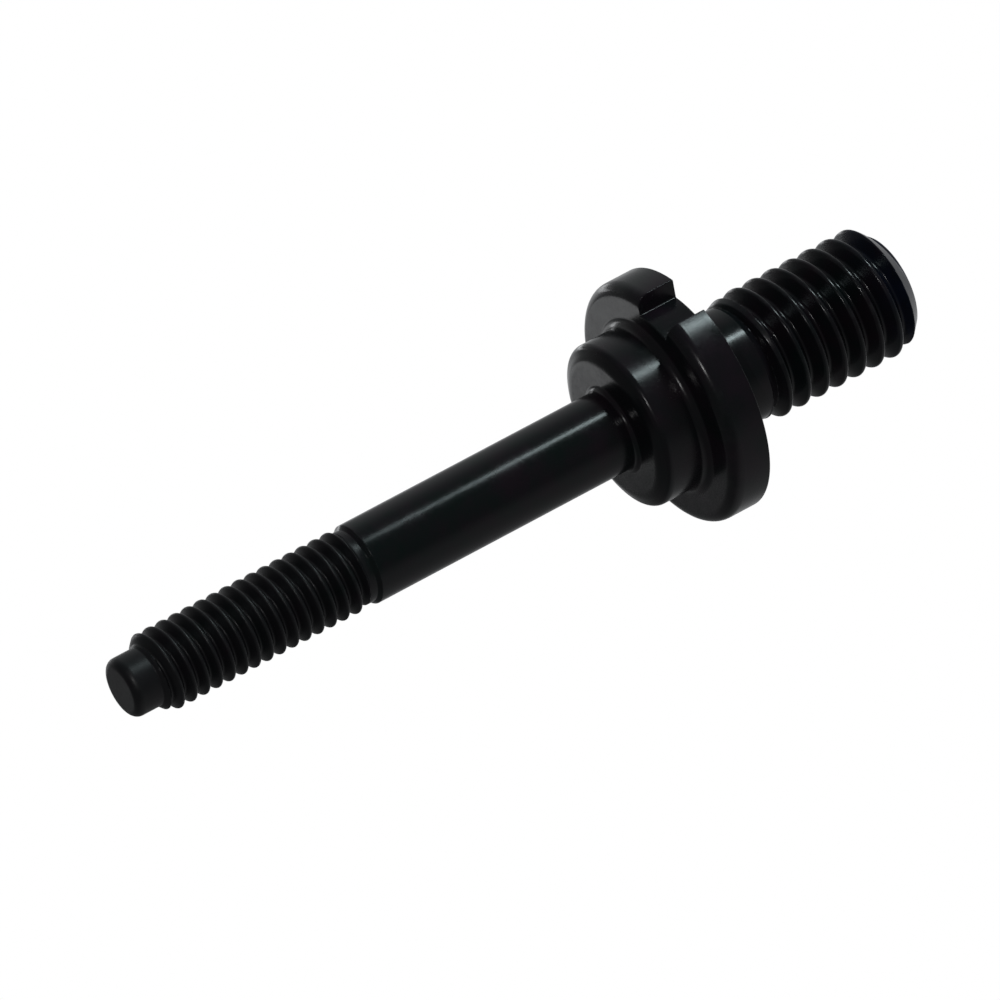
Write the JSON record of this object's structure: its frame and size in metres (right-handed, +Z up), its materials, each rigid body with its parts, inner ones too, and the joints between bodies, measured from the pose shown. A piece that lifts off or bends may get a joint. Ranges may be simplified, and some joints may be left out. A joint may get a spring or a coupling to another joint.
{
  "type": "quick change tool post",
  "caption": "Black steel tool post stud: dog point and clamp thread, smooth shank, pilot collar, notched index flange, neck and base thread.",
  "frame": {"origin": "centre of the index flange's back face, where the post seats on its block", "axes": "+Z up the post from the base thread to the clamp thread; +X through the middle of the index notch; right-handed"},
  "size_m": [0.0244, 0.0246, 0.0867],
  "materials": {
    "black_oxide": "glossy oiled black oxide on turned steel",
    "black_oxide_collar": "glossy oiled black oxide on turned steel",
    "black_oxide_flange": "glossy oiled black oxide, a little duller than the shank",
    "black_oxide_base": "glossy oiled black oxide with a faint blue cast at the end of the thread"
  },
  "bodies": {
    "root": {"clamp_stud": "black_oxide", "pilot_collar": "black_oxide_collar", "index_flange": "black_oxide_flange", "base_stud": "black_oxide_base"}
  },
  "joints": []
}
